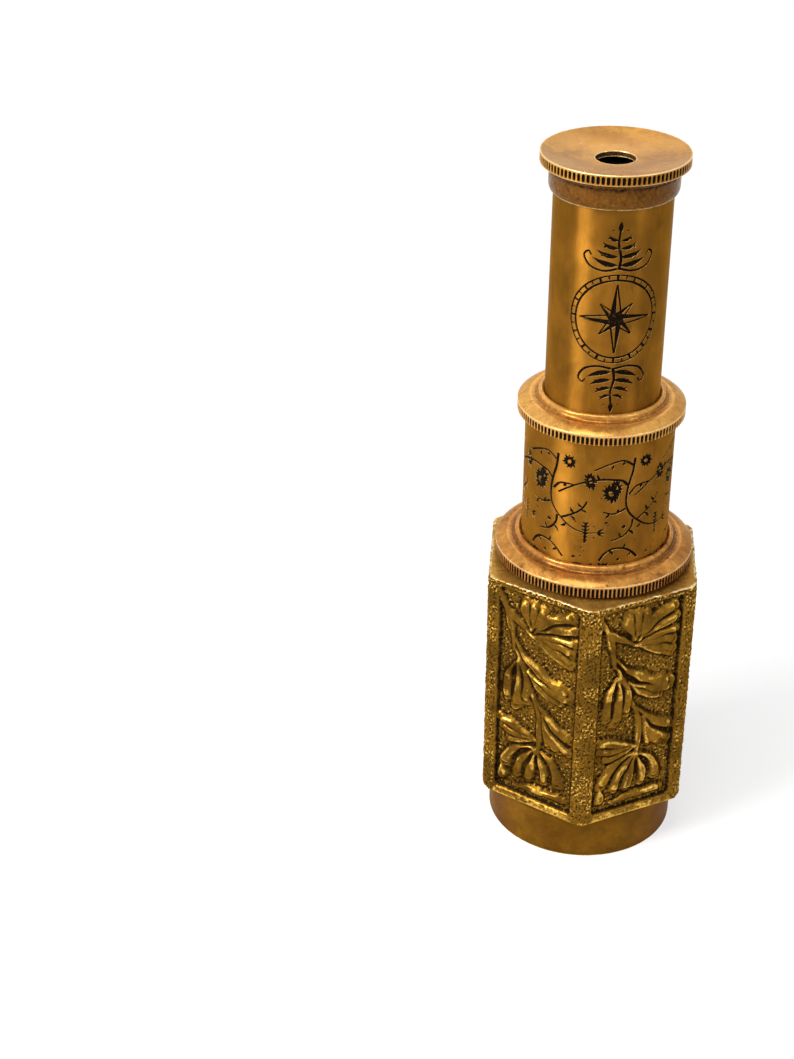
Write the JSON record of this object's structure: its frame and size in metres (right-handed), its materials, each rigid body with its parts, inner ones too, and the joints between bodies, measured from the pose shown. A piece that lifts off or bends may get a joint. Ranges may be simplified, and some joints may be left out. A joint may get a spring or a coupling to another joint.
{
  "type": "pocket spyglass",
  "caption": "Brass draw-tube pocket telescope with a hexagonal relief-cast casing on a round foot, milled collars and a dished eyecap.",
  "frame": {"origin": "on the optical axis, in the plane of the foot's underside", "axes": "+Z along the optical axis from the objective to the eyecap; two flats of the hexagonal casing face +X and -X, and two of its corners point along Y"},
  "size_m": [0.038, 0.0432, 0.135],
  "materials": {
    "cast_brass": "rough casting, dark in the ground and bright on the high spots",
    "collar_brass": "satin, reddish patina, bright edges",
    "cap_brass": "satin, warm patina",
    "tube_brass": "drawn tube, satin, etched and filled black",
    "foot_brass": "satin, worn bright at the bottom edge",
    "inner_brass": "turned, clean",
    "black_brass": "chemically blackened, matt",
    "lens_glass": "polished"
  },
  "bodies": {
    "barrel": {"hex_casing": "cast_brass", "barrel_tube": "inner_brass", "barrel_collar": "collar_brass", "objective_cell": "foot_brass", "objective_lens": "lens_glass", "objective_ring": "black_brass"},
    "mid_ring": {"mid_friction_ring": "inner_brass"},
    "mid_draw": {"mid_tube": "tube_brass", "mid_collar": "collar_brass", "mid_guide_ring": "inner_brass"},
    "eye_ring": {"eye_friction_ring": "inner_brass"},
    "eye_draw": {"eye_tube": "tube_brass", "eyecap": "cap_brass", "eye_guide_ring": "inner_brass", "eyepiece_tube": "black_brass", "eye_lens_cell": "black_brass", "eye_lens": "lens_glass", "eye_lens_ring": "black_brass", "field_lens_cell": "black_brass", "field_lens": "lens_glass", "field_lens_ring": "black_brass", "field_stop": "black_brass", "erector_tube": "black_brass", "erector_front_cell": "black_brass", "erector_front_lens": "lens_glass", "erector_front_ring": "black_brass", "erector_stop": "black_brass", "erector_rear_cell": "black_brass", "erector_rear_lens": "lens_glass", "erector_rear_ring": "black_brass"}
  },
  "joints": [
    {"name": "mid_slide", "type": "slide", "parent": "barrel", "child": "mid_ring", "axis": [0, 0, 1], "range_m": [-0.02435, 0.01235]},
    {"name": "mid_turn", "type": "hinge", "parent": "mid_ring", "child": "mid_draw", "pos_m": [0, 0, 0.0394], "axis": [0, 0, 1], "continuous": true},
    {"name": "eye_slide", "type": "slide", "parent": "mid_draw", "child": "eye_ring", "axis": [0, 0, 1], "range_m": [-0.0369, 0.00495]},
    {"name": "eye_turn", "type": "hinge", "parent": "eye_ring", "child": "eye_draw", "pos_m": [0, 0, 0.0765], "axis": [0, 0, 1], "continuous": true}
  ]
}
